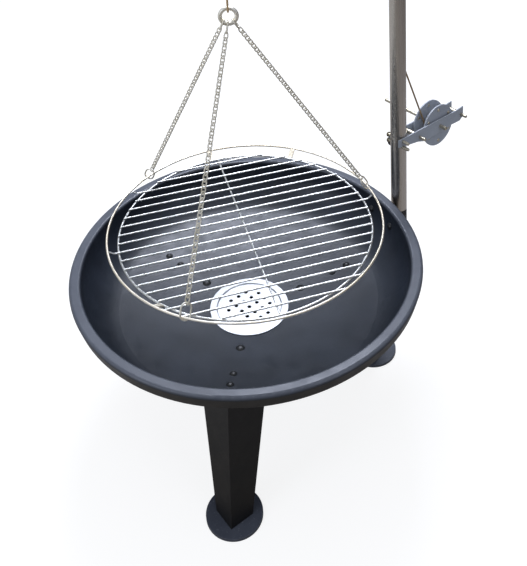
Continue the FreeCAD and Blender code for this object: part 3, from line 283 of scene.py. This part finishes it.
# Post and arm. One bent steel tube, drawn and polished, with long marks along it and a brown film;
# at its tip two cheeks, a pin and a wheel of darker steel carry the rope over.
finish_nodes(metal("drawn_tube_steel", [(0.25, "#a7a29b"), (0.5, "#c0b9b0"), (0.75, "#d6d1ca")],
                   0.2, 0.34, (1, 1, 0.02), 320, cloud=60), "gallows_tube", "post_spigot")
finish_nodes(metal("tip_steel", [(0.3, "#6f6a62"), (0.7, "#8d877c")], 0.28, 0.42),
             "tip_fork", "tip_pin", "tip_wheel")

# Winch. Two flat plates and two discs cut from sheet, blue-grey lacquer with edges painted near
# white, partly scuffs and partly a painted highlight along the cut edges, held by zinc-plated rods,
# rivets and spacers; the crank stands behind.
winch_lacquer = lacquer("blue_grey_winch_lacquer", "#aeb4bd", "#bec4cc", 0.38, edge="#f6f7f9",
                        edge_width=0.0014, dust=0.4)
finish_nodes(winch_lacquer, "winch_plate_front", "winch_plate_rear",
             "drum_disc_front", "drum_disc_rear", "drum_core", "crank_arm")
zinc = metal("zinc_plate", [(0.3, "#b3a88f"), (0.7, "#e6dfcd")], 0.24, 0.4)
finish_nodes(zinc, "winch_tie_rods", "winch_spacers", "drum_rivets", "winch_axle", "knob_pin",
             "cable_ferrule")
finish_nodes(lacquer("black_knob_plastic", "#141414", "#1d1d1d", 0.45, edge="#3a3a3a"),
             "crank_knob")


# Rope. Six strands of steel wire laid round a core, 4 mm across, oiled brown by use. It runs from
# three and a quarter turns on the drum through the post and the arm to the tip wheel.
def skin(name, grids, material, closed=False):
    """A mesh from grids of shape (pieces, rings, sides, 3): neighbouring points joined by
    four-sided faces, rings closed round, and either the path closed too or its ends capped."""
    pieces, rings, sides = grids.shape[:3]
    steps = rings if closed else rings - 1
    i, j = np.meshgrid(np.arange(steps), np.arange(sides), indexing="ij")
    here, ahead = i * sides, (i + 1) % rings * sides
    side = (j + 1) % sides
    faces = np.stack([here + j, here + side, ahead + side, ahead + j], -1).reshape(-1, 4)
    first = grids[0].reshape(-1, 3)
    a, b, c, d = (first[faces[:, k]] for k in range(4))
    middle = first.mean(0)
    inside_out = np.einsum("ij,ij->i", np.cross(c - a, d - b), a + c - 2 * middle).sum() < 0
    ends = np.stack([np.arange(sides)[::-1], (rings - 1) * sides + np.arange(sides)])
    if inside_out:
        faces, ends = faces[:, ::-1], ends[:, ::-1]
    starts = np.arange(pieces)[:, None, None] * rings * sides
    polygons = (faces + starts).reshape(-1, 4).tolist()
    if not closed:
        polygons += (ends + starts).reshape(-1, sides).tolist()
    mesh = bpy.data.meshes.new(name)
    mesh.from_pydata(grids.reshape(-1, 3), [], polygons)
    mesh.shade_smooth()
    mesh.materials.append(material)
    piece = bpy.data.objects.new(name, mesh)
    bpy.context.scene.collection.objects.link(piece)
    return piece


def tube(path, across, radius, sides, closed=False, turns=0.0):
    """A tube grid along a path: each ring is path + r * (cos(a) * n + sin(a) * b), where b is the
    unit of path direction x across, n is b x direction, and a runs round the ring. radius is one
    number or a function of the angle less the lay's turning, 2 * pi * turns over the whole path."""
    if closed:
        way = np.roll(path, -1, 0) - np.roll(path, 1, 0)
    else:
        way = np.gradient(path, axis=0)
    way /= np.linalg.norm(way, axis=1, keepdims=True)
    b = np.cross(way, across)
    b /= np.linalg.norm(b, axis=1, keepdims=True)
    n = np.cross(b, way)
    a = np.linspace(0, 2 * np.pi, sides, endpoint=False)[None, :, None]
    length = np.r_[0, np.cumsum(np.linalg.norm(np.diff(path, axis=0), axis=1))]
    lay = (length / length[-1] * 2 * np.pi * turns)[:, None, None]
    r = radius(a) if callable(radius) else radius
    angle = a + lay
    return path[:, None] + r * (np.cos(angle) * n[:, None] + np.sin(angle) * b[:, None]), r


rope_r, rope_lay = 2.0, 26.0    # millimetres; the lay is one full turn of a strand
rope_step = 2.4                 # between rings of the mesh
strand_count, strand_sides = 6, 4


def strands(a):
    """Outline of six round strands: c cos(d) + sqrt(s * s - c * c sin(d) ** 2), with d the angle to
    the nearest strand's middle, strand radius s a third of the rope's and c two thirds."""
    part = 2 * np.pi / strand_count
    d = (a + part / 2) % part - part / 2
    s, c = rope_r / 3, rope_r * 2 / 3
    return c * np.cos(d) + np.sqrt(np.maximum(s * s - (c * np.sin(d)) ** 2, 0))


def rounded_run(corners, rounds, step):
    """Evenly spaced points along straight runs with an arc at each inner corner, whose middle is
    corner + r / sin(half) along the corner's halving line and whose ends are r / tan(half) away."""
    arc_points = 25
    corners = np.asarray(corners, float)
    points = [corners[:1]]
    for k, r in enumerate(rounds, 1):
        u = corners[k - 1] - corners[k]
        v = corners[k + 1] - corners[k]
        u, v = u / np.linalg.norm(u), v / np.linalg.norm(v)
        half = math.acos(np.clip(u @ v, -1, 1)) / 2
        centre = corners[k] + (u + v) / np.linalg.norm(u + v) * r / math.sin(half)
        start = corners[k] + u * r / math.tan(half) - centre
        end = corners[k] + v * r / math.tan(half) - centre
        sweep = math.pi - 2 * half
        w = np.linspace(0, 1, arc_points)[:, None] * sweep
        points.append(centre + (np.sin(sweep - w) * start + np.sin(w) * end) / math.sin(sweep))
    points.append(corners[-1:])
    points = np.concatenate(points)
    gaps = np.linalg.norm(np.diff(points, axis=0), axis=1)
    keep = np.r_[True, gaps > 1e-6]
    points, length = points[keep], np.r_[0, np.cumsum(gaps[gaps > 1e-6])]
    even = np.linspace(0, length[-1], int(length[-1] / step) + 2)
    return np.stack([np.interp(even, length, points[:, k]) for k in range(3)], 1)


def rope(name, path, across, node):
    """A stranded rope along a path in millimetres, standing for a CAD node."""
    total = np.linalg.norm(np.diff(path, axis=0), axis=1).sum()
    grid, r = tube(path, across, strands, strand_sides * strand_count, turns=total / rope_lay)
    piece = skin(name, place(grid[None]), rope_wire)
    # Painted shade: r / rope_r goes to the attribute, so the hollows between strands are painted
    # darker.
    hollow = np.broadcast_to(r / rope_r, grid.shape[:2] + (1,)).ravel()
    shade = piece.data.attributes.new("groove_shade", "FLOAT", "POINT")
    shade.data.foreach_set("value", hollow.astype(np.float32))
    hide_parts(node)
    return piece


rope_stops = [(0.3, "#b8986f"), (0.7, "#e2c79f")]
rope_wire = metal("oiled_rope_wire", rope_stops, 0.34, 0.5, groove_shade="groove_shade")
arm_side = np.array((0.585, -0.811, 0))
rope_corners = [(363.997, 292.344, 126.44), (294.663, 210.108, 385.11),
                (294.663, 210.108, 887.5), (4.3, 0.9, 887.5), (4.3, 0.9, 867.5)]
slot_round, bend_round, wheel_round = 80.0, 97.5, 18.0
rope_route = rounded_run(rope_corners, [slot_round, bend_round, wheel_round], rope_step)
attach(rope("rope_run", rope_route, arm_side, "cable_run"), "gallows")
winch_out, winch_across = np.array((0.678, 0.735, 0)), np.array((0.735, -0.678, 0))
drum_middle, wind_r, wind_span = np.array((380.081, 298.991, 133.0)), 17.1, 14.625
leave, wound = math.radians(202.559), math.radians(1170)
a = np.linspace(leave + wound, leave, 150)[:, None]
share = (leave + wound - a) / wound
winding = drum_middle + wind_r * (np.cos(a) * winch_out + np.sin(a) * np.array((0, 0, 1))) + \
    wind_span * (0.5 - share) * winch_across
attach(rope("rope_winding", winding, winch_across, "cable_winding"), "gallows")
# The free drop from the tip wheel to the ring is taken in and let out by the winch.
drop_low, drop_high = (np.array(corner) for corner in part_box("cable_drop"))
drop_foot, drop_head = (drop_low + drop_high) / 2, (drop_low + drop_high) / 2
drop_foot[2], drop_head[2] = drop_low[2], drop_high[2]
drop_line = np.linspace(drop_head, drop_foot, int((drop_head - drop_foot)[2] * 1000 / rope_step))
rope_drop = rope("rope_drop", (drop_line - rim_middle) * 1000, arm_side, "cable_drop")
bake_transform(rope_drop)
finish_nodes(metal("oiled_rope_loop", rope_stops, 0.34, 0.5), "cable_loop")


# Chains. Three zinc-plated curb chains: oval links of 2.6 mm wire, each twisted nearly a quarter
# turn so that they lie flat together. The ring, its joining links and the eyes are welded.
chain_zinc = metal("chain_zinc", [(0.3, "#e0dac6"), (0.6, "#f8f3e6"), (0.8, "#fffdf6")],
                   0.42, 0.6, cloud=60)
finish_nodes(chain_zinc, "hang_ring", "top_links", "chain_eyes")
link_r, link_half_width, link_over = 1.3, 3.4, 2.9
link_twist = math.radians(40)
chain_flat = np.array((0.17, -0.78, 0.60))
chain_runs = {"left": ((-13.432, 3.526, 499.414), (-217.021, 132.425, 101.456), 43),
              "front": ((0.141, -8.527, 495.423), (-55.38, -249.198, 101.254), 43),
              "right": ((21.47, 7.366, 498.554), (228.48, 127.567, 101.482), 43)}


def curb_chain(start, end, count):
    """Grids of all links of a chain from its first hold to its last. A link's middle line is
    (w cos u, 0, h sin u), turned about the chain's own line by twist * sin u."""
    start, end = np.array(start), np.array(end)
    span = end - start
    d = span / np.linalg.norm(span)
    wide = np.cross(d, chain_flat)
    wide /= np.linalg.norm(wide)
    deep = np.cross(d, wide)
    pitch = np.linalg.norm(span) / count
    u = np.linspace(0, 2 * np.pi, 18, endpoint=False)[:, None]
    turned = link_twist * np.sin(u)
    half = pitch / 2 + link_over
    along_wide = link_half_width * np.cos(u) * np.cos(turned)
    along_deep = link_half_width * np.cos(u) * np.sin(turned)
    line = along_wide * wide + along_deep * deep + half * np.sin(u) * d
    face = -np.sin(turned) * wide + np.cos(turned) * deep
    link, _ = tube(line, face, link_r, 6, closed=True)
    middles = start + d * (pitch * (np.arange(count) + 0.5))[:, None]
    return link[None] + middles[:, None, None]


for side, (start, end, count) in chain_runs.items():
    links = place(curb_chain(start, end, count))
    chain = skin("curb_chain_" + side, links, chain_zinc, closed=True)
    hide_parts("chain_" + side)
    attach(chain, "grate")


# Floor and light. A plain pale studio floor, a broad softbox high behind the grill whose sheen
# lies in the bowl, two weaker ones from the front, and a sky that is brighter overhead.
def seen_directly(tree):
    """1 for camera rays, so that the eye sees white, else 0."""
    return add(tree, "ShaderNodeLightPath").outputs["Is Camera Ray"]


def pale_floor(shade, glow, mirrored):
    """A pale matt surface that camera rays see nearer to white. Polished steel mirrors a room on
    it, light on the left and brown on the right."""
    m, t, out = new_material("pale_floor")
    matt = add(t, "ShaderNodeBsdfDiffuse", {"Color": linear(shade)})
    light = add(t, "ShaderNodeMath", {1: glow}, {0: seen_directly(t)},
                operation="MULTIPLY").outputs[0]
    shine = add(t, "ShaderNodeEmission", {"Color": linear("#ffffff")}, {"Strength": light})
    both = add(t, "ShaderNodeAddShader", links={0: matt.outputs[0], 1: shine.outputs[0]})
    at = add(t, "ShaderNodeTexCoord").outputs["Object"]
    x = add(t, "ShaderNodeSeparateXYZ", links={0: at}).outputs["X"]
    room_left, room_right = -1.6, 1.8
    room = ramp(t, spread(t, x, room_left, room_right, 0.0, 1.0),
                [(0, "#e6e7e6"), (0.42, "#a89c8c"), (1, "#63492d")])
    reflected = add(t, "ShaderNodeLightPath").outputs["Is Glossy Ray"]
    glossy = add(t, "ShaderNodeMath", {1: mirrored}, {0: reflected},
                 operation="MULTIPLY").outputs[0]
    seen = add(t, "ShaderNodeEmission", links={"Color": room, "Strength": glossy})
    both = add(t, "ShaderNodeAddShader", links={0: both.outputs[0], 1: seen.outputs[0]})
    t.links.new(both.outputs[0], out.inputs[0])
    return m


reach = 12.0
floor_mesh = bpy.data.meshes.new("floor")
floor_mesh.from_pydata([(-reach, -reach, 0), (reach, -reach, 0), (reach, reach, 0),
                        (-reach, reach, 0)], [], [(0, 1, 2, 3)])
floor = bpy.data.objects.new("floor", floor_mesh)
bpy.context.scene.collection.objects.link(floor)
floor_mesh.materials.append(pale_floor("#8e8e8e", 0.84, 0.36))

world = bpy.data.worlds.new("studio")
bpy.context.scene.world = world
world.use_nodes = True
t = world.node_tree
t.nodes.clear()
way = add(t, "ShaderNodeTexCoord").outputs["Generated"]
axis = add(t, "ShaderNodeSeparateXYZ", links={0: way})
sky = ramp(t, axis.outputs["Z"],
           [(0.0, "#55524f"), (0.3, "#7f8692"), (0.62, "#c8d3e6"), (1.0, "#ffffff")])
low = spread(t, axis.outputs["Z"], 0.15, 0.55, 1.0, 0.0)
side = spread(t, axis.outputs["X"], 0.1, 0.75, 0.0, 0.85)
brown = product(t, low, side)
wall = ramp(t, axis.outputs["Z"], [(0.0, "#4a3c2c"), (0.6, "#6f5a43")])
sky = blended(t, brown, sky, wall)
window = product(t, low, spread(t, axis.outputs["X"], -0.2, -0.7, 0.0, 1.0))
sky = blended(t, window, sky, ramp(t, axis.outputs["Z"], [(0, "#bfc3c9"), (1, "#dfe3ea")]))
studio = add(t, "ShaderNodeBackground", {"Strength": 0.7}, {"Color": sky})
white = add(t, "ShaderNodeBackground", {"Color": linear("#ffffff"), "Strength": 1.0})
both = add(t, "ShaderNodeMixShader",
           links={0: seen_directly(t), 1: studio.outputs[0], 2: white.outputs[0]})
add(t, "ShaderNodeOutputWorld", links={0: both.outputs[0]})


def softbox(name, at, aim, size, power):
    """A square area lamp at a place, aimed at a point; places in metres."""
    lamp = bpy.data.lights.new(name, "AREA")
    lamp.size, lamp.energy, lamp.color = size, power, linear("#e9efff")[:3]
    o = bpy.data.objects.new(name, lamp)
    o.location = at
    o.rotation_euler = (Vector(aim) - Vector(at)).to_track_quat("-Z", "Y").to_euler()
    o.visible_camera = False
    bpy.context.scene.collection.objects.link(o)


softbox("high_behind", (-0.1, 1.25, 2.6), (0, 0.1, 0.3), 1.1, 58)
softbox("front_left", (-2.4, -2.2, 1.8), (0, 0, 0.4), 1.4, 24)
softbox("front_right", (2.1, -1.7, 1.5), (0.3, 0.2, 0.7), 1.0, 8)
